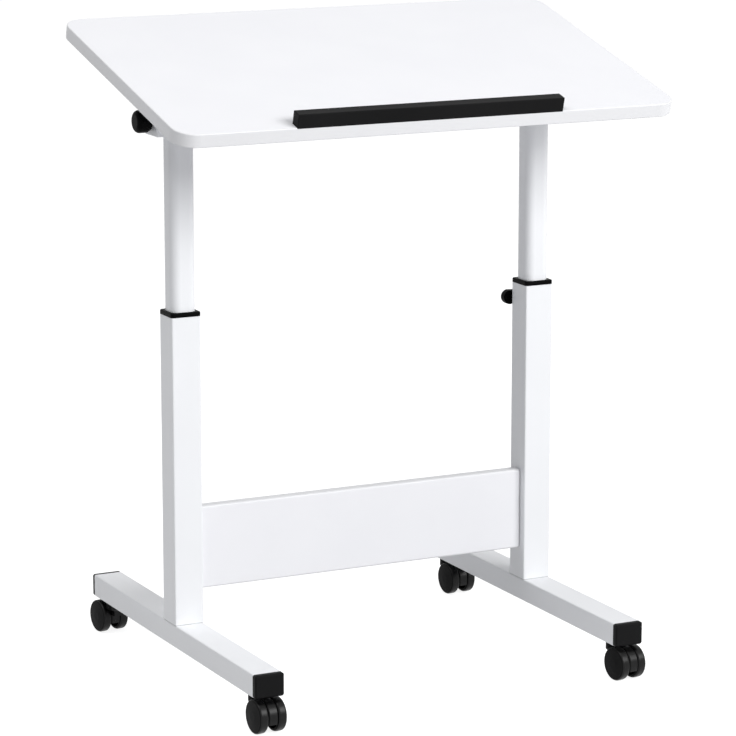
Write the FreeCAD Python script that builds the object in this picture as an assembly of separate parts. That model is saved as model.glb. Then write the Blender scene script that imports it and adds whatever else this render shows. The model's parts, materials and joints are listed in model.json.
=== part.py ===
import FreeCAD, Part
import math
import os

# Laptop table on casters: two telescopic legs, a cross panel and a tilting top.
# Millimetres, +Z up, floor at Z 0, front towards -Y, origin under the middle of the footprint.

V = FreeCAD.Vector
X_AXIS = V(1, 0, 0)
Y_AXIS = V(0, 1, 0)
Z_AXIS = V(0, 0, 1)

# Desktop
DESK_WIDTH = 700.0
DESK_DEPTH = 400.0
DESK_THICKNESS = 18.0
DESK_CORNER = 29.0
BAND_THICKNESS = 2.0
DESK_ROUND = 1.5
CORE_CORNER_LEAST = 1.0
DESK_TILT = 15.0

# Paper and laptop stop along the front edge
LEDGE_LENGTH = 371.0
LEDGE_OFFSET = -8.0
LEDGE_DEPTH = 15.8
LEDGE_HEIGHT = 17.6
LEDGE_ROUND = 1.0
LEDGE_SEAT_DEPTH = 1.0
LEDGE_SCREW_COUNT = 3
LEDGE_SCREW_SPACING = 150.0
LEDGE_SCREW_INSET = 8.0
LEDGE_SCREW_GRIP = 10.0

# Tilt pivot under the desktop
PIVOT_DROP = 50.0
PIVOT_FROM_FRONT = 210.0
PIVOT_BOLT_RADIUS = 4.0
PIVOT_HEAD_RADIUS = 9.0
PIVOT_HEAD_HEIGHT = 5.0
PIVOT_HEAD_BEVEL = 2.5
BUSH_RADIUS = 7.0
BUSH_FLANGE_RADIUS = 9.0
BUSH_FLANGE = 1.5
HEAD_DEPTH = 40.0
HEAD_HEIGHT = 38.0
HEAD_OUTER_REACH = 37.5
HEAD_INNER_REACH = 18.0
HEAD_WALL = 2.0
HEAD_ROUND = 2.0

# Folded steel bracket that carries the desktop
BRACKET_STEEL = 3.0
BRACKET_LENGTH = 110.0
BRACKET_FLANGE = 48.0
BRACKET_EYE_RADIUS = 17.0
BRACKET_CORNER = 10.0
BRACKET_SCREW_SPACING = 80.0
BRACKET_SCREW_SPREAD = 24.0

# Tilt clamp knob
TILT_KNOB_RADIUS = 14.6
TILT_KNOB_HEAD = 15.5
TILT_KNOB_CONE = 5.0
TILT_KNOB_NECK_RADIUS = 11.5
TILT_KNOB_ROUND = 6.0
TILT_INSERT_RADIUS = 6.0
TILT_INSERT_LENGTH = 10.0
TILT_BOLT_GRIP = 9.0

# Telescopic legs
POST_SPACING = 515.0
POST_SIDE = 40.0
POST_WALL = 1.5
POST_INNER_CORNER = 0.5
POST_HEIGHT = 407.0
POST_CORNER = 2.0
TUBE_SIDE = 34.0
TUBE_CORNER = 11.0
TUBE_WALL = 1.5
TUBE_LENGTH = 412.0
TUBE_EXPOSED = 227.2
GLIDE_FLANGE = 12.0
GLIDE_PLUG = 15.0
GLIDE_CLEARANCE = 0.3

# Black guide sleeve in the mouth of each post
COLLAR_HEIGHT = 5.8
COLLAR_PROUD = 0.6
COLLAR_CORNER = 4.0
COLLAR_ROUND = 1.6
SLEEVE_DEPTH = 60.0

# Height clamp knob on the back of each post
CLAMP_DROP = 20.0
CLAMP_STUD_RADIUS = 4.0
CLAMP_NUT_RADIUS = 9.0
CLAMP_NUT_LENGTH = 4.0
CLAMP_HUB_RADIUS = 10.0
CLAMP_HUB_LENGTH = 2.0
CLAMP_WING_LENGTH = 58.0
CLAMP_WING_HEIGHT = 19.5
CLAMP_WING_WAIST = 15.0
CLAMP_WING_DEPTH = 11.0
CLAMP_WING_ROUND = 3.0
CLAMP_STUD_GRIP = 9.0
LEFT_WING_ANGLE = 98.0
RIGHT_WING_ANGLE = -8.0

# Cross panel between the legs
PANEL_HEIGHT = 110.0
PANEL_THICKNESS = 18.0
PANEL_LIFT = 43.0
PANEL_CORNER = 3.5
PANEL_ROUND = 3.0
TAB_STEEL = 2.0
TAB_HEIGHT = 80.0
TAB_REACH = 25.0
TAB_LEG = 10.0
TAB_SCREW_SPACING = 50.0

# Feet
FOOT_LENGTH = 540.0
FOOT_WIDTH = 40.0
FOOT_HEIGHT = 30.0
FOOT_WALL = 1.5
FOOT_CORNER = 2.0
FOOT_INNER_CORNER = 0.5
CAP_FLANGE = 8.0
CAP_PLUG = 8.0
CAP_WALL = 2.0
CAP_CORNER = 3.0
CAP_BEVEL = 2.0
BASE_PLATE = 6.0
FOOT_BOLT_RADIUS = 4.0
FOOT_BOLT_SPACING = 20.0
FOOT_BOLT_HEAD = 5.0
FOOT_BOLT_FLATS = 13.0

# Twin-wheel casters
CASTER_HEIGHT = 48.0
CASTER_INSET = 34.0
CASTER_TRAIL = 20.0
WHEEL_RADIUS = 22.0
WHEEL_WIDTH = 13.3
WHEEL_ROUND = 3.0
WHEEL_INNER_ROUND = 3.5
WHEEL_DOME = 1.0
WHEEL_RIM = 4.0
WHEEL_WEB = 3.5
WHEEL_HUB_RADIUS = 6.0
WHEEL_GAP = 0.5
AXLE_RADIUS = 3.0
AXLE_GRIP = 8.0
HOOD_WIDTH = 12.0
HOOD_RADIUS = 21.4
HOOD_MOUTH = 14.0
HOOD_PILLAR_REACH = 7.5
HOOD_PILLAR_FLOOR = 4.0
HOOD_BEVEL = 1.0
BOSS_RADIUS = 13.5
BOSS_HEIGHT = 12.0
TREAD_GAP = 1.0
STEM_RADIUS = 4.0
STEM_DEPTH = 18.0
STEM_GRIP = 10.0
STEM_FLANGE = 1.0
STEM_FLANGE_RADIUS = 8.0
STEM_NUT_FLATS = 13.0
STEM_NUT_HEIGHT = 6.5
FRONT_LEFT_TURN = 3.0
FRONT_RIGHT_TURN = 6.0
BACK_LEFT_TURN = 186.0
BACK_RIGHT_TURN = 3.0

# Wood screws
SCREW_RADIUS = 2.0
SCREW_HEAD_RADIUS = 4.0
SCREW_HEAD_TOP_RADIUS = 2.6
SCREW_HEAD = 2.5
SCREW_GRIP = 11.0

# Clearances
RUNNING_FIT = 0.05
SLIDE_GAP = 0.3
SEAT_GAP = 0.1
HOLE_GAP = 0.3

# How closely an edge is matched when it is looked up by its place
TINY = 0.0001

# Places that follow from the sizes above
POST_X = POST_SPACING / 2
FOOT_BOTTOM = CASTER_HEIGHT
FOOT_TOP = FOOT_BOTTOM + FOOT_HEIGHT
POST_TOP = FOOT_TOP + POST_HEIGHT
COLLAR_TOP = POST_TOP + COLLAR_HEIGHT
TUBE_TOP = COLLAR_TOP + TUBE_EXPOSED
TUBE_BOTTOM = TUBE_TOP - TUBE_LENGTH
PIVOT_Z = TUBE_TOP + HEAD_HEIGHT / 2
PIVOT = V(0, 0, PIVOT_Z)
DESK_UNDER = PIVOT_Z + PIVOT_DROP
DESK_TOP = DESK_UNDER + DESK_THICKNESS
DESK_FRONT = -PIVOT_FROM_FRONT
DESK_MIDDLE = DESK_FRONT + DESK_DEPTH / 2
POST_BORE = POST_SIDE - 2 * POST_WALL
HEAD_OUTER_X = -POST_X - HEAD_OUTER_REACH
HEAD_INNER_X = -POST_X + HEAD_INNER_REACH
EAR_X = HEAD_INNER_X + BUSH_FLANGE + SEAT_GAP
KNOB_X = HEAD_OUTER_X - BUSH_FLANGE - SEAT_GAP
CLAMP_Z = POST_TOP - CLAMP_DROP
PANEL_BOTTOM = FOOT_TOP + PANEL_LIFT
PANEL_LENGTH = POST_SPACING - POST_SIDE
CASTER_Y = FOOT_LENGTH / 2 - CASTER_INSET


def box(low, high):
    """Block between two corners."""
    size = V(*high) - V(*low)
    return Part.makeBox(size.x, size.y, size.z, V(*low))


def rod(radius, start, end):
    """Cylinder from one point to another."""
    path = V(*end) - V(*start)
    return Part.makeCylinder(radius, path.Length, V(*start), path)


def prism(width, depth, height, corner, z=0.0):
    """Upright block with rounded vertical corners, centred on the Z axis."""
    block = Part.makeBox(width, depth, height, V(-width / 2, -depth / 2, z))
    upright = [e for e in block.Edges if e.BoundBox.ZLength > height / 2]
    return block.makeFillet(corner, upright)


def hexagon(flats, height, z=0.0):
    """Upright hexagonal prism, centred on the Z axis."""
    radius = flats / math.sqrt(3)
    corners = [V(radius * math.cos(k * math.pi / 3), radius * math.sin(k * math.pi / 3), z) for k in range(7)]
    return Part.Face(Part.makePolygon(corners)).extrude(V(0, 0, height))


def revolve(points, axis):
    """Solid of revolution about an axis through the origin, from a closed profile."""
    profile = Part.Face(Part.makePolygon(points + points[:1]))
    return profile.revolve(V(0, 0, 0), axis, 360)


def lying_along_y(shape):
    """Turn an upright shape so that its Z axis points along +Y."""
    turned = shape.copy()
    turned.rotate(V(0, 0, 0), X_AXIS, -90)
    return turned


def moved(shape, x=0.0, y=0.0, z=0.0):
    """Copy of a shape, shifted."""
    copy = shape.copy()
    copy.translate(V(x, y, z))
    return copy


def mirrored(shape):
    """The same piece for the other leg."""
    return shape.mirror(V(0, 0, 0), X_AXIS)


def both_legs(shape):
    """A piece for the left leg and its mirror image for the right one."""
    return [shape, mirrored(shape)]


def tilted(shape):
    """Turn a piece of the level desktop to its working slope."""
    copy = shape.copy()
    copy.rotate(PIVOT, X_AXIS, DESK_TILT)
    return copy


def swivelled(shape, angle):
    """Turn a piece of a caster about its stem."""
    copy = shape.copy()
    copy.rotate(V(0, 0, 0), Z_AXIS, angle)
    return copy


def edges_at(shape, z):
    """Edges that lie wholly at one height."""
    return [e for e in shape.Edges if abs(e.BoundBox.ZMin - z) < TINY and abs(e.BoundBox.ZMax - z) < TINY]


def banded_board(width, depth, thickness, corner, rim_round):
    """Core board, centred with its underside at Z 0, and the plastic band round its edge."""
    whole = prism(width, depth, thickness, corner)
    rims = edges_at(whole, 0) + edges_at(whole, thickness)
    whole = whole.makeFillet(rim_round, rims)
    core_corner = max(corner - BAND_THICKNESS, CORE_CORNER_LEAST)
    core = prism(width - 2 * BAND_THICKNESS, depth - 2 * BAND_THICKNESS, thickness, core_corner)
    return core.common(whole), whole.cut(core)


def wood_screw(grip):
    """Pan-head screw standing on its point, with the underside of its head at Z 0."""
    shank = rod(SCREW_RADIUS, (0, 0, -grip), (0, 0, 0))
    head = Part.makeCone(SCREW_HEAD_RADIUS, SCREW_HEAD_TOP_RADIUS, SCREW_HEAD)
    return shank.fuse(head)


def spread(count, spacing):
    """Evenly spaced offsets about zero."""
    return [(k - (count - 1) / 2) * spacing for k in range(count)]


def desktop():
    """Board, edge band and front ledge, all in the level position."""
    board, band = banded_board(DESK_WIDTH, DESK_DEPTH, DESK_THICKNESS, DESK_CORNER, DESK_ROUND)
    board = moved(board, 0, DESK_MIDDLE, DESK_UNDER)
    band = moved(band, 0, DESK_MIDDLE, DESK_UNDER)

    ledge_bottom = DESK_TOP - LEDGE_SEAT_DEPTH
    half = LEDGE_LENGTH / 2
    seat = box((-half, DESK_FRONT, ledge_bottom), (half, DESK_FRONT + LEDGE_DEPTH, DESK_TOP))
    seat = moved(seat, LEDGE_OFFSET)
    board = board.cut(seat)
    band = band.cut(seat)
    ledge = ledge_bar(ledge_bottom)

    screw_y = DESK_FRONT + LEDGE_SCREW_INSET
    recess_top = DESK_UNDER + SCREW_HEAD
    screws = []
    for offset in spread(LEDGE_SCREW_COUNT, LEDGE_SCREW_SPACING):
        x = LEDGE_OFFSET + offset
        recess = rod(SCREW_HEAD_RADIUS + HOLE_GAP, (x, screw_y, DESK_UNDER), (x, screw_y, recess_top))
        passage = rod(SCREW_RADIUS + HOLE_GAP, (x, screw_y, DESK_UNDER), (x, screw_y, DESK_TOP))
        board = board.cut(recess).cut(passage)
        tip = ledge_bottom + LEDGE_SCREW_GRIP
        ledge = ledge.cut(rod(SCREW_RADIUS + RUNNING_FIT, (x, screw_y, ledge_bottom), (x, screw_y, tip)))
        screw = wood_screw(tip - recess_top)
        screw.rotate(V(0, 0, 0), X_AXIS, 180)
        screws.append(moved(screw, x, screw_y, recess_top))
    return board, band, ledge, screws


def ledge_bar(bottom):
    """Black bar with softened edges, standing on its seat."""
    half = LEDGE_LENGTH / 2
    top = bottom + LEDGE_SEAT_DEPTH + LEDGE_HEIGHT
    bar = moved(box((-half, 0, bottom), (half, LEDGE_DEPTH, top)), LEDGE_OFFSET, DESK_FRONT)
    soft = [e for e in bar.Edges if e.BoundBox.ZMax > bottom + LEDGE_SEAT_DEPTH]
    return bar.makeFillet(LEDGE_ROUND, soft)


def desk_bracket():
    """Left bracket in the level position: a flange under the board and an ear down to the pivot."""
    half = BRACKET_LENGTH / 2
    top_angle = math.atan2(PIVOT_DROP, half)
    reach = math.hypot(PIVOT_DROP, half)
    touch_angle = top_angle - math.acos(BRACKET_EYE_RADIUS / reach)
    touch_y = BRACKET_EYE_RADIUS * math.cos(touch_angle)
    touch_z = BRACKET_EYE_RADIUS * math.sin(touch_angle)
    front_top = V(EAR_X, -half, DESK_UNDER)
    back_top = V(EAR_X, half, DESK_UNDER)
    back_touch = V(EAR_X, touch_y, PIVOT_Z + touch_z)
    front_touch = V(EAR_X, -touch_y, PIVOT_Z + touch_z)
    eye_bottom = V(EAR_X, 0, PIVOT_Z - BRACKET_EYE_RADIUS)
    outline = Part.Wire([
        Part.makeLine(front_top, back_top),
        Part.makeLine(back_top, back_touch),
        Part.Arc(back_touch, eye_bottom, front_touch).toShape(),
        Part.makeLine(front_touch, front_top),
    ])
    ear = Part.Face(outline).extrude(V(BRACKET_STEEL, 0, 0))
    flange_low = (EAR_X, -half, DESK_UNDER - BRACKET_STEEL)
    flange = box(flange_low, (EAR_X + BRACKET_FLANGE, half, DESK_UNDER))
    free_corners = [
        e for e in flange.Edges
        if abs(e.BoundBox.XMin - EAR_X - BRACKET_FLANGE) < TINY and e.BoundBox.ZLength > BRACKET_STEEL / 2
    ]
    flange = flange.makeFillet(BRACKET_CORNER, free_corners)
    bracket = ear.fuse(flange).removeSplitter()
    hole_r = PIVOT_BOLT_RADIUS + RUNNING_FIT
    return bracket.cut(rod(hole_r, (EAR_X, 0, PIVOT_Z), (EAR_X + BRACKET_STEEL, 0, PIVOT_Z)))


def bracket_screw_points():
    """Places of the screws that hold the left bracket, on the underside of its flange."""
    middle = EAR_X + BRACKET_STEEL + (BRACKET_FLANGE - BRACKET_STEEL) / 2
    z = DESK_UNDER - BRACKET_STEEL
    return [
        (middle + dx, dy, z)
        for dx in spread(2, BRACKET_SCREW_SPREAD)
        for dy in spread(2, BRACKET_SCREW_SPACING)
    ]


def fix_bracket(board, bracket):
    """Drill the board and the left bracket and place the screws that join them."""
    screws = []
    for x, y, z in bracket_screw_points():
        bracket = bracket.cut(rod(SCREW_RADIUS + HOLE_GAP, (x, y, z), (x, y, DESK_UNDER)))
        pilot = rod(SCREW_RADIUS + RUNNING_FIT, (x, y, DESK_UNDER), (x, y, z + SCREW_GRIP))
        board = board.cut(pilot).cut(mirrored(pilot))
        screw = wood_screw(SCREW_GRIP)
        screw.rotate(V(0, 0, 0), X_AXIS, 180)
        screws += both_legs(moved(screw, x, y, z))
    return board, bracket, screws


def pivot_bolt():
    """Left pivot bolt: a domed head inside the ear and a shank out to the knob."""
    head_x = EAR_X + BRACKET_STEEL
    shank = rod(PIVOT_BOLT_RADIUS, (KNOB_X - TILT_BOLT_GRIP, 0, PIVOT_Z), (head_x, 0, PIVOT_Z))
    head = rod(PIVOT_HEAD_RADIUS, (head_x, 0, PIVOT_Z), (head_x + PIVOT_HEAD_HEIGHT, 0, PIVOT_Z))
    rim = [e for e in head.Edges if e.BoundBox.XMin > head_x + PIVOT_HEAD_HEIGHT / 2 and e.Closed]
    head = head.makeChamfer(PIVOT_HEAD_BEVEL, rim[:1])
    return shank.fuse(head)


def tilt_knob():
    """Left tilt knob, turned about X with its narrow neck towards the leg, and its threaded insert."""
    depth = TILT_KNOB_CONE + TILT_KNOB_HEAD
    body = revolve([
        V(0, 0, 0), V(0, TILT_KNOB_NECK_RADIUS, 0), V(-TILT_KNOB_CONE, TILT_KNOB_RADIUS, 0),
        V(-depth, TILT_KNOB_RADIUS, 0), V(-depth, 0, 0),
    ], X_AXIS)
    outer_rim = [e for e in body.Edges if e.Closed and e.BoundBox.XMax < TILT_KNOB_ROUND - depth]
    body = body.makeFillet(TILT_KNOB_ROUND, outer_rim)
    body = body.cut(rod(TILT_INSERT_RADIUS, (-TILT_INSERT_LENGTH, 0, 0), (0, 0, 0)))
    insert = rod(TILT_INSERT_RADIUS, (-TILT_INSERT_LENGTH, 0, 0), (0, 0, 0))
    insert = insert.cut(rod(PIVOT_BOLT_RADIUS + RUNNING_FIT, (-TILT_INSERT_LENGTH, 0, 0), (0, 0, 0)))
    return moved(body, KNOB_X, 0, PIVOT_Z), moved(insert, KNOB_X, 0, PIVOT_Z)


def post_head():
    """Left head: a closed steel box on the upper tube, pierced for the two pivot bushes."""
    length = HEAD_INNER_X - HEAD_OUTER_X
    low = (HEAD_OUTER_X, -HEAD_DEPTH / 2, PIVOT_Z - HEAD_HEIGHT / 2)
    block = Part.makeBox(length, HEAD_DEPTH, HEAD_HEIGHT, V(*low))
    block = block.makeFillet(HEAD_ROUND, block.Edges)
    wall = V(HEAD_WALL, HEAD_WALL, HEAD_WALL)
    hollow = Part.makeBox(
        length - 2 * HEAD_WALL, HEAD_DEPTH - 2 * HEAD_WALL, HEAD_HEIGHT - 2 * HEAD_WALL, V(*low) + wall)
    through = rod(BUSH_RADIUS, (HEAD_OUTER_X, 0, PIVOT_Z), (HEAD_INNER_X, 0, PIVOT_Z))
    return block.cut(hollow).cut(through)


def pivot_bushes():
    """The two flanged plastic bushes in the end walls of the left head."""
    bushes = []
    for face, outward in ((HEAD_OUTER_X, -1), (HEAD_INNER_X, 1)):
        inside = face - outward * HEAD_WALL
        lip = face + outward * BUSH_FLANGE
        bush = rod(BUSH_RADIUS, (inside, 0, PIVOT_Z), (face, 0, PIVOT_Z))
        bush = bush.fuse(rod(BUSH_FLANGE_RADIUS, (face, 0, PIVOT_Z), (lip, 0, PIVOT_Z)))
        bore = rod(PIVOT_BOLT_RADIUS + RUNNING_FIT, (inside, 0, PIVOT_Z), (lip, 0, PIVOT_Z))
        bushes.append(bush.cut(bore))
    return bushes


def upper_tube():
    """Left upper tube, a rounded square section."""
    outer = prism(TUBE_SIDE, TUBE_SIDE, TUBE_LENGTH, TUBE_CORNER, TUBE_BOTTOM)
    bore = TUBE_SIDE - 2 * TUBE_WALL
    inner = prism(bore, bore, TUBE_LENGTH, TUBE_CORNER - TUBE_WALL, TUBE_BOTTOM)
    return moved(outer.cut(inner), -POST_X)


def tube_glide():
    """Plastic foot of the left upper tube: a flange that runs in the post and a plug in the tube."""
    flange_side = POST_BORE - 2 * GLIDE_CLEARANCE
    plug_side = TUBE_SIDE - 2 * TUBE_WALL - 2 * SEAT_GAP
    flange = prism(flange_side, flange_side, GLIDE_FLANGE, POST_CORNER, TUBE_BOTTOM - GLIDE_FLANGE)
    plug = prism(plug_side, plug_side, GLIDE_PLUG, TUBE_CORNER - TUBE_WALL - SEAT_GAP, TUBE_BOTTOM)
    return moved(flange.fuse(plug), -POST_X)


def post():
    """Left post, a square tube with a hole for the clamp stud in its back wall."""
    outer = prism(POST_SIDE, POST_SIDE, POST_HEIGHT, POST_CORNER, FOOT_TOP)
    inner = prism(POST_BORE, POST_BORE, POST_HEIGHT, POST_INNER_CORNER, FOOT_TOP)
    shell = outer.cut(inner)
    hole = rod(CLAMP_STUD_RADIUS + HOLE_GAP, (0, 0, CLAMP_Z), (0, POST_SIDE, CLAMP_Z))
    return moved(shell.cut(hole), -POST_X)


def guide_sleeve():
    """Left guide sleeve: a collar over the post's rim and a liner down inside it."""
    collar_side = POST_SIDE + 2 * COLLAR_PROUD
    collar = prism(collar_side, collar_side, COLLAR_HEIGHT, COLLAR_CORNER, POST_TOP)
    collar = collar.makeFillet(COLLAR_ROUND, edges_at(collar, COLLAR_TOP))
    liner_side = POST_BORE - 2 * SEAT_GAP
    low = POST_TOP - SLEEVE_DEPTH
    liner = prism(liner_side, liner_side, SLEEVE_DEPTH, POST_CORNER, low)
    bore = TUBE_SIDE + 2 * SLIDE_GAP
    opening = prism(bore, bore, COLLAR_TOP - low, TUBE_CORNER + SLIDE_GAP, low)
    hole = rod(CLAMP_STUD_RADIUS + HOLE_GAP, (0, 0, CLAMP_Z), (0, POST_SIDE, CLAMP_Z))
    return moved(collar.fuse(liner).cut(opening).cut(hole), -POST_X)


def clamp_nut():
    """Round nut welded to the back of the left post for the clamp stud."""
    back = POST_SIDE / 2
    nut = rod(CLAMP_NUT_RADIUS, (0, back, CLAMP_Z), (0, back + CLAMP_NUT_LENGTH, CLAMP_Z))
    bore = rod(CLAMP_STUD_RADIUS + RUNNING_FIT, (0, back, CLAMP_Z), (0, back + CLAMP_NUT_LENGTH, CLAMP_Z))
    return moved(nut.cut(bore), -POST_X)


def wing_outline():
    """Wing seen along the screw: round ends joined by edges that draw in at the middle."""
    end_r = CLAMP_WING_HEIGHT / 2
    waist = CLAMP_WING_WAIST / 2
    end_x = CLAMP_WING_LENGTH / 2 - end_r
    tip = CLAMP_WING_LENGTH / 2
    return Part.Wire([
        Part.Arc(V(-end_x, end_r, 0), V(0, waist, 0), V(end_x, end_r, 0)).toShape(),
        Part.Arc(V(end_x, end_r, 0), V(tip, 0, 0), V(end_x, -end_r, 0)).toShape(),
        Part.Arc(V(end_x, -end_r, 0), V(0, -waist, 0), V(-end_x, -end_r, 0)).toShape(),
        Part.Arc(V(-end_x, -end_r, 0), V(-tip, 0, 0), V(-end_x, end_r, 0)).toShape(),
    ])


def clamp_knob(x, wing_angle):
    """Winged clamp knob on the back of a post, and the stud moulded into it."""
    wing = Part.Face(wing_outline()).extrude(V(0, 0, CLAMP_WING_DEPTH))
    wing = moved(wing, 0, 0, CLAMP_HUB_LENGTH)
    wing = wing.makeFillet(CLAMP_WING_ROUND, edges_at(wing, CLAMP_HUB_LENGTH + CLAMP_WING_DEPTH))
    hub = Part.makeCylinder(CLAMP_HUB_RADIUS, CLAMP_HUB_LENGTH + CLAMP_WING_DEPTH / 2)
    knob = wing.fuse(hub).cut(rod(CLAMP_STUD_RADIUS, (0, 0, 0), (0, 0, CLAMP_STUD_GRIP)))
    knob.rotate(V(0, 0, 0), Z_AXIS, wing_angle)
    seat = POST_SIDE / 2 + CLAMP_NUT_LENGTH + SEAT_GAP
    tip = TUBE_SIDE / 2 + SLIDE_GAP
    stud = rod(CLAMP_STUD_RADIUS, (x, tip, CLAMP_Z), (x, seat + CLAMP_STUD_GRIP, CLAMP_Z))
    return moved(lying_along_y(knob), x, seat, CLAMP_Z), stud


def cross_panel():
    """Panel board and band standing between the posts."""
    parts = []
    for piece in banded_board(PANEL_LENGTH, PANEL_HEIGHT, PANEL_THICKNESS, PANEL_CORNER, PANEL_ROUND):
        upright = moved(piece, 0, 0, -PANEL_THICKNESS / 2)
        upright.rotate(V(0, 0, 0), X_AXIS, 90)
        parts.append(moved(upright, 0, 0, PANEL_BOTTOM + PANEL_HEIGHT / 2))
    return parts


def panel_tab():
    """Left angle tab: one leg on the post's inner face, the other behind the panel."""
    inner_face = -POST_X + POST_SIDE / 2
    back = PANEL_THICKNESS / 2
    low = PANEL_BOTTOM + (PANEL_HEIGHT - TAB_HEIGHT) / 2
    high = low + TAB_HEIGHT
    leg = box((inner_face, back, low), (inner_face + TAB_STEEL, back + TAB_LEG, high))
    plate = box((inner_face, back, low), (inner_face + TAB_REACH, back + TAB_STEEL, high))
    return leg.fuse(plate).removeSplitter()


def fix_panel(board, tab):
    """Drill the panel and the left tab and place the screws that join them."""
    x = -POST_X + POST_SIDE / 2 + (TAB_REACH + TAB_STEEL) / 2
    back = PANEL_THICKNESS / 2
    seat = back + TAB_STEEL
    screws = []
    for dz in spread(2, TAB_SCREW_SPACING):
        z = PANEL_BOTTOM + PANEL_HEIGHT / 2 + dz
        tab = tab.cut(rod(SCREW_RADIUS + HOLE_GAP, (x, back, z), (x, seat, z)))
        pilot = rod(SCREW_RADIUS + RUNNING_FIT, (x, seat - SCREW_GRIP, z), (x, back, z))
        board = board.cut(pilot).cut(mirrored(pilot))
        screws += both_legs(moved(lying_along_y(wood_screw(SCREW_GRIP)), x, seat, z))
    return board, tab, screws


def foot():
    """Left foot, a rectangular tube drilled for the post bolts and the caster stems."""
    length = FOOT_LENGTH - 2 * CAP_FLANGE
    outer = prism(FOOT_WIDTH, FOOT_HEIGHT, length, FOOT_CORNER, -length / 2)
    bore_w = FOOT_WIDTH - 2 * FOOT_WALL
    bore_h = FOOT_HEIGHT - 2 * FOOT_WALL
    inner = prism(bore_w, bore_h, length, FOOT_INNER_CORNER, -length / 2)
    tube = moved(lying_along_y(outer.cut(inner)), -POST_X, 0, FOOT_BOTTOM + FOOT_HEIGHT / 2)
    for y in spread(2, FOOT_BOLT_SPACING):
        tube = tube.cut(rod(FOOT_BOLT_RADIUS + HOLE_GAP, (-POST_X, y, FOOT_BOTTOM), (-POST_X, y, FOOT_TOP)))
    floor = FOOT_BOTTOM + FOOT_WALL
    for y in (-CASTER_Y, CASTER_Y):
        tube = tube.cut(rod(STEM_RADIUS + HOLE_GAP, (-POST_X, y, FOOT_BOTTOM), (-POST_X, y, floor)))
    return tube


def foot_caps():
    """End caps of the left foot: a rounded flange and a hollow plug in the tube."""
    plug_w = FOOT_WIDTH - 2 * FOOT_WALL - 2 * SEAT_GAP
    plug_h = FOOT_HEIGHT - 2 * FOOT_WALL - 2 * SEAT_GAP
    flange = prism(FOOT_WIDTH, FOOT_HEIGHT, CAP_FLANGE, CAP_CORNER)
    flange = flange.makeChamfer(CAP_BEVEL, edges_at(flange, CAP_FLANGE))
    plug = prism(plug_w, plug_h, CAP_PLUG, FOOT_CORNER, -CAP_PLUG)
    core = prism(plug_w - 2 * CAP_WALL, plug_h - 2 * CAP_WALL, CAP_PLUG, FOOT_CORNER / 2, -CAP_PLUG)
    back_cap = lying_along_y(flange.fuse(plug.cut(core)))
    front_cap = back_cap.mirror(V(0, 0, 0), Y_AXIS)
    end = FOOT_LENGTH / 2 - CAP_FLANGE
    middle = FOOT_BOTTOM + FOOT_HEIGHT / 2
    return [moved(front_cap, -POST_X, -end, middle), moved(back_cap, -POST_X, end, middle)]


def base_plate():
    """Steel plate welded into the bottom of the left post, tapped for the foot bolts."""
    side = POST_BORE - 2 * SEAT_GAP
    plate = prism(side, side, BASE_PLATE, POST_CORNER, FOOT_TOP)
    thread = FOOT_BOLT_RADIUS + RUNNING_FIT
    for y in spread(2, FOOT_BOLT_SPACING):
        plate = plate.cut(rod(thread, (0, y, FOOT_TOP), (0, y, FOOT_TOP + BASE_PLATE)))
    return moved(plate, -POST_X)


def foot_bolts():
    """Hexagon bolts that hold the left post down on its foot, put in from below."""
    bolts = []
    for y in spread(2, FOOT_BOLT_SPACING):
        shank = rod(FOOT_BOLT_RADIUS, (-POST_X, y, FOOT_BOTTOM), (-POST_X, y, FOOT_TOP + BASE_PLATE))
        head = moved(hexagon(FOOT_BOLT_FLATS, FOOT_BOLT_HEAD, FOOT_BOTTOM - FOOT_BOLT_HEAD), -POST_X, y)
        bolts.append(shank.fuse(head))
    return bolts


def caster_stem():
    """Threaded stem with its flange, on the swivel axis at the origin of the caster."""
    shank = rod(STEM_RADIUS, (0, 0, FOOT_BOTTOM - STEM_DEPTH), (0, 0, FOOT_BOTTOM + STEM_GRIP))
    flange = rod(STEM_FLANGE_RADIUS, (0, 0, FOOT_BOTTOM - STEM_FLANGE), (0, 0, FOOT_BOTTOM))
    return shank.fuse(flange)


def caster_nut():
    """Nut welded inside the foot for one caster stem."""
    floor = FOOT_BOTTOM + FOOT_WALL
    nut = hexagon(STEM_NUT_FLATS, STEM_NUT_HEIGHT, floor)
    return nut.cut(rod(STEM_RADIUS + RUNNING_FIT, (0, 0, floor), (0, 0, floor + STEM_NUT_HEIGHT)))


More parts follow.
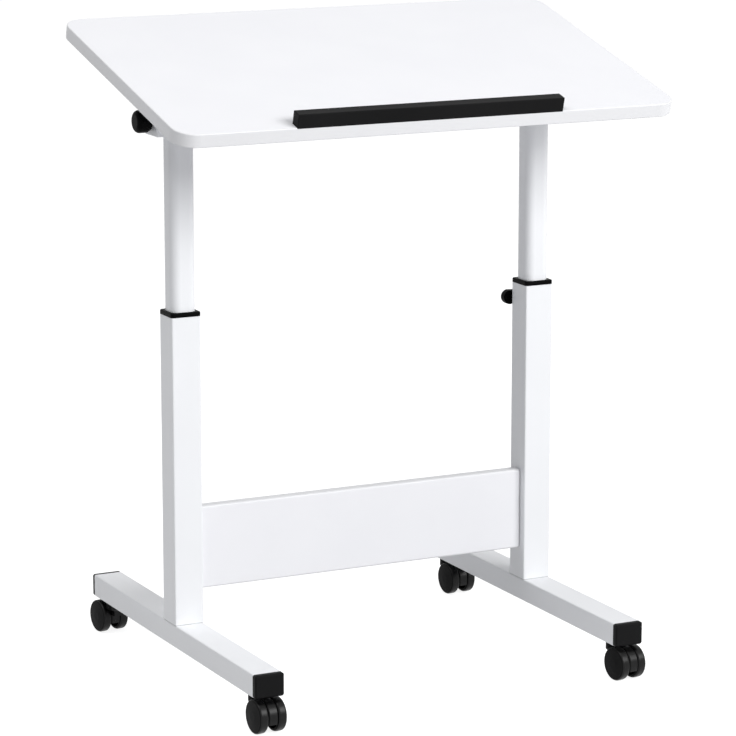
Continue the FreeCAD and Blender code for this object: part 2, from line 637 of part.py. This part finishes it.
def caster_hood():
    """Hood between the wheels: a round web over the axle, a pillar and a boss that follows the treads."""
    half = HOOD_WIDTH / 2
    boss_top = FOOT_BOTTOM - STEM_FLANGE - SEAT_GAP
    boss_low = boss_top - BOSS_HEIGHT
    web = rod(HOOD_RADIUS, (-half, -CASTER_TRAIL, WHEEL_RADIUS), (half, -CASTER_TRAIL, WHEEL_RADIUS))
    below = box((-half, -CASTER_TRAIL - HOOD_RADIUS, 0), (half, HOOD_RADIUS, HOOD_MOUTH))
    web = web.cut(below)
    stem_end = FOOT_BOTTOM - STEM_DEPTH - SEAT_GAP
    pillar = box((-half, -BOSS_RADIUS, stem_end - HOOD_PILLAR_FLOOR), (half, HOOD_PILLAR_REACH, boss_top))
    rims = [e for e in web.Edges if e.BoundBox.XLength < TINY and e.BoundBox.ZMax > WHEEL_RADIUS]
    web = web.makeChamfer(HOOD_BEVEL, rims)
    boss = rod(BOSS_RADIUS, (0, 0, boss_low), (0, 0, boss_top))
    boss = boss.makeChamfer(HOOD_BEVEL, edges_at(boss, boss_low) + edges_at(boss, boss_top))
    left_end = (-BOSS_RADIUS, -CASTER_TRAIL, WHEEL_RADIUS)
    right_end = (BOSS_RADIUS, -CASTER_TRAIL, WHEEL_RADIUS)
    boss = boss.cut(rod(WHEEL_RADIUS + TREAD_GAP, left_end, right_end))
    hood = web.fuse(pillar).fuse(boss)
    hood = hood.cut(rod(STEM_RADIUS + RUNNING_FIT, (0, 0, stem_end), (0, 0, boss_top)))
    axle_bore = rod(AXLE_RADIUS, (-half, -CASTER_TRAIL, WHEEL_RADIUS), (half, -CASTER_TRAIL, WHEEL_RADIUS))
    return hood.cut(axle_bore)


def caster_axle():
    """Steel axle pressed through the hood, reaching into both wheels."""
    reach = HOOD_WIDTH / 2 + WHEEL_GAP + AXLE_GRIP
    return rod(AXLE_RADIUS, (-reach, -CASTER_TRAIL, WHEEL_RADIUS), (reach, -CASTER_TRAIL, WHEEL_RADIUS))


def tread_edge(wheel, x):
    """The round edge of the tread that lies at one place along the axle."""
    rings = [e for e in wheel.Edges if e.Closed and abs(e.BoundBox.YMax - WHEEL_RADIUS) < TINY]
    return min(rings, key=lambda e: abs(e.CenterOfMass.x - x))


def caster_wheel(side):
    """One wheel, -1 left or 1 right: a domed disc, hollow behind, with a blind bore for the axle."""
    rim_in = WHEEL_RADIUS - WHEEL_RIM
    face = WHEEL_WIDTH - WHEEL_WEB
    bore = AXLE_RADIUS + RUNNING_FIT
    bore_end = AXLE_GRIP + SEAT_GAP
    dome_x = WHEEL_WIDTH - WHEEL_DOME
    wheel = revolve([
        V(0, bore, 0), V(0, WHEEL_HUB_RADIUS, 0), V(face, WHEEL_HUB_RADIUS, 0), V(face, rim_in, 0),
        V(0, rim_in, 0), V(0, WHEEL_RADIUS, 0), V(dome_x, WHEEL_RADIUS, 0), V(dome_x, rim_in, 0),
        V(WHEEL_WIDTH, WHEEL_HUB_RADIUS, 0), V(WHEEL_WIDTH, 0, 0), V(bore_end, 0, 0), V(bore_end, bore, 0),
    ], X_AXIS)
    for x, radius in ((dome_x, WHEEL_ROUND), (0, WHEEL_INNER_ROUND)):
        wheel = wheel.makeFillet(radius, [tread_edge(wheel, x)])
    wheel = moved(wheel, HOOD_WIDTH / 2 + WHEEL_GAP, -CASTER_TRAIL, WHEEL_RADIUS)
    return wheel if side > 0 else mirrored(wheel)


def export(node, shapes):
    """Write one node, a single solid or a group of separate ones."""
    group = Part.makeCompound(shapes) if isinstance(shapes, list) else shapes
    group.exportStep("parts/" + node + ".step")


def export_pair(name, left):
    """Write a left piece and its mirror image for the right leg."""
    export("left_" + name, left)
    export("right_" + name, mirrored(left))


def build_desktop():
    """Everything that tilts, and the knobs that clamp it."""
    board, band, ledge, ledge_screws = desktop()
    board, bracket, bracket_screws = fix_bracket(board, desk_bracket())
    export("desktop_board", tilted(board))
    export("desktop_edge_band", tilted(band))
    export("ledge_bar", tilted(ledge))
    export("ledge_screws", [tilted(s) for s in ledge_screws])
    export_pair("desk_bracket", tilted(bracket))
    export("bracket_screws", [tilted(s) for s in bracket_screws])
    export_pair("pivot_bolt", pivot_bolt())
    knob, insert = tilt_knob()
    export_pair("tilt_knob", knob)
    export_pair("tilt_knob_insert", insert)


def build_legs():
    """Posts, upper tubes, sleeves and height clamps."""
    export_pair("post_head", post_head())
    export("pivot_bushes", [b for bush in pivot_bushes() for b in both_legs(bush)])
    export_pair("upper_tube", upper_tube())
    export("tube_glides", both_legs(tube_glide()))
    export_pair("post", post())
    export_pair("guide_sleeve", guide_sleeve())
    export("clamp_nuts", both_legs(clamp_nut()))
    for name, x, angle in (("left", -POST_X, LEFT_WING_ANGLE), ("right", POST_X, RIGHT_WING_ANGLE)):
        knob, stud = clamp_knob(x, angle)
        export(name + "_height_knob", knob)
        export(name + "_height_knob_stud", stud)


def build_base():
    """Feet, cross panel and their fixings."""
    board, band = cross_panel()
    board, tab, panel_screws = fix_panel(board, panel_tab())
    export("cross_panel", board)
    export("cross_panel_edge_band", band)
    export("panel_tabs", both_legs(tab))
    export("panel_screws", panel_screws)
    export_pair("foot", foot())
    export("foot_end_caps", [c for cap in foot_caps() for c in both_legs(cap)])
    export("post_base_plates", both_legs(base_plate()))
    export("foot_bolts", [b for bolt in foot_bolts() for b in both_legs(bolt)])


def build_casters():
    """Four casters, each turned as it was left standing."""
    places = (
        ("front_left", -POST_X, -CASTER_Y, FRONT_LEFT_TURN),
        ("front_right", POST_X, -CASTER_Y, FRONT_RIGHT_TURN),
        ("back_left", -POST_X, CASTER_Y, BACK_LEFT_TURN),
        ("back_right", POST_X, CASTER_Y, BACK_RIGHT_TURN),
    )
    pieces = {
        "hood": caster_hood(),
        "axle": caster_axle(),
        "wheel_l": caster_wheel(-1),
        "wheel_r": caster_wheel(1),
    }
    for name, x, y, turn in places:
        for piece, shape in pieces.items():
            export(name + "_caster_" + piece, moved(swivelled(shape, turn), x, y))
    export("caster_stems", [moved(caster_stem(), x, y) for name, x, y, turn in places])
    export("caster_nuts", [moved(caster_nut(), x, y) for name, x, y, turn in places])


os.makedirs("parts", exist_ok=True)
build_desktop()
build_legs()
build_base()
build_casters()
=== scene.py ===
import json
import math
from typing import NamedTuple

import bpy
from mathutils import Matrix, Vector

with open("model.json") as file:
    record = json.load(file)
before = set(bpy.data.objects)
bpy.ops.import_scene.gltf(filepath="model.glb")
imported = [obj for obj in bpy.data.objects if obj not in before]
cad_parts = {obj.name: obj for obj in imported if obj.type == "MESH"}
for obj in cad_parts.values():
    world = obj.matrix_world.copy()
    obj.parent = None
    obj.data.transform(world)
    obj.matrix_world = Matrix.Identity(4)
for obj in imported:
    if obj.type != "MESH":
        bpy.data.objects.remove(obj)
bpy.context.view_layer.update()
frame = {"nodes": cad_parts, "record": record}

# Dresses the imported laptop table: finishes, studio light, floor and the photograph's camera.
# Lengths are in metres and angles in degrees.

# Camera that matches the photograph
IMAGE_SIDE = 736
FOCAL_PIXELS = 3427.7
SENSOR_WIDTH = 36.0
CAMERA_PLACE = (-1.9513, -3.9757, 1.3144)
CAMERA_YAW = 26.27
CAMERA_PITCH = 11.775

# Light levels: 1 makes a white surface that faces the lamp fully white
AMBIENT_LEVEL = 0.33
AMBIENT_TINT = (0.97, 0.98, 1.0)
KEY_LEVEL = 0.84
KEY_FROM = (2.3, -4.9, 3.5)
KEY_SPREAD = (5.0, 2.6)
TOP_LEVEL = 0.29
TOP_FROM = (-2.4, -0.4, 5.3)
TOP_SPREAD = (3.0, 3.0)
LIGHT_AIM = (0.0, 0.0, 0.45)

# Floor: its shade for bounced light, and the glow and share of light that it shows
FLOOR_HALF = 16.0
FLOOR_TINT = (0.60, 0.60, 0.61)
FLOOR_GLOW = 0.85
FLOOR_SHADE_SHARE = 0.50

WHITE = (1.0, 1.0, 1.0)

# Noise in the finishes: waves per metre, detail, and the stretch of values that is spread out
PATCH_WAVES = 9.0
PATCH_DETAIL = 3.0
GRAIN_DETAIL = 2.0
SHADE_STRETCH = (0.35, 0.65)
ROUGHNESS_STRETCH = (0.3, 0.7)

# Small moulded pieces in a deeper black than the rest of their slot
DEEP_BLACK_NODES = (
    "left_tilt_knob", "right_tilt_knob", "left_height_knob", "right_height_knob",
    "left_guide_sleeve", "right_guide_sleeve",
)

# Least share of the axle's direction in the normal of a wheel's flat face
FACE_LOOK = 0.75

# Painted shade: a dark line painted where each post stands on its foot, for the shade in the seam between
# them
POST_NODES = ("left_post", "right_post")
PAINTED_SEAM_HEIGHT = 0.0009
PAINTED_SEAM_SHADE = 0.25


class Finish(NamedTuple):
    """Two near shades, a range of roughness, and a grain in waves per metre with its depth."""
    dark: tuple
    light: tuple
    rough: tuple
    grain: float
    depth: float
    strength: float
    stretch: tuple = (1.0, 1.0, 1.0)
    specular: float = 0.5
    metallic: float = 0.0


FINISHES = {
    "white_board": Finish(
        dark=(0.842, 0.844, 0.870), light=(0.858, 0.860, 0.884), rough=(0.46, 0.58),
        grain=1500.0, depth=0.00004, strength=0.25, specular=0.25),
    # Painted shade: the edge band is set a little darker than the board, for the shade on the desk's
    # edges
    "white_band": Finish(
        dark=(0.795, 0.798, 0.812), light=(0.810, 0.813, 0.827), rough=(0.36, 0.46),
        grain=700.0, depth=0.00003, strength=0.2, stretch=(0.15, 0.15, 1.0)),
    "white_steel": Finish(
        dark=(0.850, 0.860, 0.878), light=(0.866, 0.876, 0.894), rough=(0.30, 0.42),
        grain=650.0, depth=0.00005, strength=0.3),
    "black_plastic": Finish(
        dark=(0.0085, 0.0085, 0.0088), light=(0.0105, 0.0105, 0.0108), rough=(0.42, 0.56),
        grain=2200.0, depth=0.00005, strength=0.35, specular=0.04),
    "deep_black": Finish(
        dark=(0.0020, 0.0020, 0.0021), light=(0.0030, 0.0030, 0.0031), rough=(0.36, 0.46),
        grain=2200.0, depth=0.00005, strength=0.3, specular=0.025),
    "black_nylon": Finish(
        dark=(0.0060, 0.0060, 0.0062), light=(0.0075, 0.0075, 0.0077), rough=(0.40, 0.50),
        grain=1500.0, depth=0.00003, strength=0.2, specular=0.03),
    "polished_tread": Finish(
        dark=(0.0020, 0.0020, 0.0021), light=(0.0030, 0.0030, 0.0031), rough=(0.28, 0.36),
        grain=1500.0, depth=0.00003, strength=0.1, specular=0.20),
    "white_nylon": Finish(
        dark=(0.70, 0.69, 0.66), light=(0.76, 0.75, 0.72), rough=(0.40, 0.52),
        grain=900.0, depth=0.00004, strength=0.25),
    "zinc_steel": Finish(
        dark=(0.50, 0.51, 0.53), light=(0.62, 0.63, 0.66), rough=(0.24, 0.40),
        grain=900.0, depth=0.00003, strength=0.25, stretch=(1.0, 1.0, 0.2), metallic=1.0),
    "brass_insert": Finish(
        dark=(0.60, 0.45, 0.20), light=(0.70, 0.54, 0.26), rough=(0.22, 0.36),
        grain=900.0, depth=0.00003, strength=0.25, metallic=1.0),
}


def object_place(tree):
    """Place on the piece, in the frame's coordinates."""
    return tree.nodes.new("ShaderNodeTexCoord").outputs["Object"]


def noise(tree, waves, detail, stretch=(1.0, 1.0, 1.0)):
    """Noise over the piece, drawn out along the axes with a small stretch."""
    mapping = tree.nodes.new("ShaderNodeMapping")
    mapping.inputs["Scale"].default_value = stretch
    texture = tree.nodes.new("ShaderNodeTexNoise")
    texture.inputs["Scale"].default_value = waves
    texture.inputs["Detail"].default_value = detail
    tree.links.new(object_place(tree), mapping.inputs["Vector"])
    tree.links.new(mapping.outputs["Vector"], texture.inputs["Vector"])
    return texture.outputs["Fac"]


def spread_shade(tree, shader, value, dark, light):
    """Base colour that wanders between two near shades."""
    ramp = tree.nodes.new("ShaderNodeValToRGB")
    for stop, place, shade in zip(ramp.color_ramp.elements, SHADE_STRETCH, (dark, light)):
        stop.position = place
        stop.color = (*shade, 1.0)
    tree.links.new(value, ramp.inputs["Fac"])
    tree.links.new(ramp.outputs["Color"], shader.inputs["Base Color"])


def spread_roughness(tree, shader, value, low, high):
    """Roughness that wanders between two values."""
    remap = tree.nodes.new("ShaderNodeMapRange")
    remap.inputs["From Min"].default_value, remap.inputs["From Max"].default_value = ROUGHNESS_STRETCH
    remap.inputs["To Min"].default_value = low
    remap.inputs["To Max"].default_value = high
    tree.links.new(value, remap.inputs["Value"])
    tree.links.new(remap.outputs["Result"], shader.inputs["Roughness"])


def relief(tree, shader, value, depth, strength):
    """Fine surface relief."""
    bump = tree.nodes.new("ShaderNodeBump")
    bump.inputs["Strength"].default_value = strength
    bump.inputs["Distance"].default_value = depth
    tree.links.new(value, bump.inputs["Height"])
    tree.links.new(bump.outputs["Normal"], shader.inputs["Normal"])


def make_material(name):
    """Material of one finish, with wandering shade and roughness and a fine grain."""
    finish = FINISHES[name]
    material = bpy.data.materials.new(name)
    material.use_nodes = True
    tree = material.node_tree
    shader = tree.nodes["Principled BSDF"]
    patches = noise(tree, PATCH_WAVES, PATCH_DETAIL)
    grain = noise(tree, finish.grain, GRAIN_DETAIL, finish.stretch)
    spread_shade(tree, shader, patches, finish.dark, finish.light)
    spread_roughness(tree, shader, grain, *finish.rough)
    relief(tree, shader, grain, finish.depth, finish.strength)
    shader.inputs["Specular IOR Level"].default_value = finish.specular
    shader.inputs["Metallic"].default_value = finish.metallic
    return material


def lowest_point(node):
    """Height of a CAD node's lowest point."""
    return min(vertex.co.z for vertex in frame["nodes"][node].data.vertices)


def painted_seam_shade(material, height):
    """Copy of a finish with painted shade: it darkens just above a height, for the shade in a seam."""
    copy = material.copy()
    tree = copy.node_tree
    colour = tree.nodes["Principled BSDF"].inputs["Base Color"]
    plain = colour.links[0].from_socket
    place = tree.nodes.new("ShaderNodeSeparateXYZ")
    tree.links.new(object_place(tree), place.inputs["Vector"])
    shade = tree.nodes.new("ShaderNodeMapRange")
    shade.inputs["From Min"].default_value = height
    shade.inputs["From Max"].default_value = height + PAINTED_SEAM_HEIGHT
    shade.inputs["To Min"].default_value = PAINTED_SEAM_SHADE
    tree.links.new(place.outputs["Z"], shade.inputs["Value"])
    scaled = tree.nodes.new("ShaderNodeVectorMath")
    scaled.operation = "SCALE"
    tree.links.new(plain, scaled.inputs["Vector"])
    tree.links.new(shade.outputs["Result"], scaled.inputs["Scale"])
    tree.links.new(scaled.outputs["Vector"], colour)
    return copy


def polish_treads(mesh, material):
    """Put the tread finish on all of a wheel or hood but its flat faces, which look along the axle."""
    mesh.materials.append(material)
    for polygon in mesh.polygons:
        polygon.material_index = int(abs(polygon.normal.x) < FACE_LOOK)


def dress_nodes():
    """Give every CAD node the finish of its slot, or its own."""
    materials = {name: make_material(name) for name in FINISHES}
    # The posts get a copy of white steel with painted seam shade at their foot
    own = dict.fromkeys(POST_NODES, painted_seam_shade(materials["white_steel"], lowest_point(POST_NODES[0])))
    own.update(dict.fromkeys(DEEP_BLACK_NODES, materials["deep_black"]))
    for subpart in frame["record"]["subparts"]:
        node = subpart["node"]
        slot = subpart["material_slot"]
        mesh = frame["nodes"][node].data
        mesh.materials.clear()
        mesh.materials.append(own.get(node, materials[slot]))
        if slot == "black_nylon":
            polish_treads(mesh, materials["polished_tread"])


def seen_directly(nodes):
    """Values that are 1 for rays that show the surroundings: to the camera, mirrored or through glass."""
    path = nodes.new("ShaderNodeLightPath")
    return [path.outputs[n] for n in ("Is Camera Ray", "Is Glossy Ray", "Is Transmission Ray")]


def largest(tree, values):
    """The largest of several values."""
    result = values[0]
    for value in values[1:]:
        node = tree.nodes.new("ShaderNodeMath")
        node.operation = "MAXIMUM"
        tree.links.new(result, node.inputs[0])
        tree.links.new(value, node.inputs[1])
        result = node.outputs[0]
    return result


def show_instead(tree, lit, shown, output):
    """Use one shader for light and another where the surroundings are seen."""
    mix = tree.nodes.new("ShaderNodeMixShader")
    tree.links.new(largest(tree, seen_directly(tree.nodes)), mix.inputs["Fac"])
    tree.links.new(lit.outputs[0], mix.inputs[1])
    tree.links.new(shown.outputs[0], mix.inputs[2])
    tree.links.new(mix.outputs[0], output.inputs["Surface"])


def make_world():
    """White surroundings to look at, and an even, weaker light from all round."""
    world = bpy.data.worlds.new("studio")
    bpy.context.scene.world = world
    world.use_nodes = True
    tree = world.node_tree
    light = tree.nodes["Background"]
    light.inputs["Color"].default_value = (*AMBIENT_TINT, 1.0)
    light.inputs["Strength"].default_value = AMBIENT_LEVEL
    shown = tree.nodes.new("ShaderNodeBackground")
    shown.inputs["Color"].default_value = (*WHITE, 1.0)
    show_instead(tree, light, shown, tree.nodes["World Output"])


def diffuse(tree, colour):
    """Plain matt surface."""
    surface = tree.nodes.new("ShaderNodeBsdfDiffuse")
    surface.inputs["Color"].default_value = (*colour, 1.0)
    return surface


def floor_material():
    """Pale floor that looks white and keeps a soft shadow."""
    material = bpy.data.materials.new("floor")
    material.use_nodes = True
    tree = material.node_tree
    tree.nodes.clear()
    glow = tree.nodes.new("ShaderNodeEmission")
    glow.inputs["Color"].default_value = (*WHITE, 1.0)
    glow.inputs["Strength"].default_value = FLOOR_GLOW
    shown = tree.nodes.new("ShaderNodeAddShader")
    tree.links.new(diffuse(tree, (FLOOR_SHADE_SHARE,) * 3).outputs[0], shown.inputs[0])
    tree.links.new(glow.outputs[0], shown.inputs[1])
    show_instead(tree, diffuse(tree, FLOOR_TINT), shown, tree.nodes.new("ShaderNodeOutputMaterial"))
    return material


def make_floor():
    """Square floor under the table."""
    signs = [(-1, -1), (1, -1), (1, 1), (-1, 1)]
    mesh = bpy.data.meshes.new("floor")
    mesh.from_pydata([(x * FLOOR_HALF, y * FLOOR_HALF, 0.0) for x, y in signs], [], [(0, 1, 2, 3)])
    mesh.materials.append(floor_material())
    floor = bpy.data.objects.new("floor", mesh)
    bpy.context.scene.collection.objects.link(floor)


def softbox(name, place, spread, level):
    """Rectangular studio light aimed at the table, with its width and height given."""
    path = Vector(LIGHT_AIM) - Vector(place)
    data = bpy.data.lights.new(name, "AREA")
    data.shape = "RECTANGLE"
    data.size, data.size_y = spread
    data.energy = level * math.pi ** 2 * path.length_squared
    lamp = bpy.data.objects.new(name, data)
    lamp.location = place
    lamp.rotation_euler = path.to_track_quat("-Z", "Y").to_euler()
    bpy.context.scene.collection.objects.link(lamp)


def make_camera():
    """Camera at the photograph's viewing angle."""
    data = bpy.data.cameras.new("camera")
    data.sensor_width = SENSOR_WIDTH
    data.lens = FOCAL_PIXELS / IMAGE_SIDE * SENSOR_WIDTH
    camera = bpy.data.objects.new("camera", data)
    camera.location = CAMERA_PLACE
    camera.rotation_euler = (math.radians(90 - CAMERA_PITCH), 0.0, math.radians(-CAMERA_YAW))
    bpy.context.scene.collection.objects.link(camera)
    bpy.context.scene.camera = camera


bpy.context.scene.view_settings.view_transform = "Standard"
dress_nodes()
make_world()
make_floor()
softbox("key", KEY_FROM, KEY_SPREAD, KEY_LEVEL)
softbox("top", TOP_FROM, TOP_SPREAD, TOP_LEVEL)
make_camera()
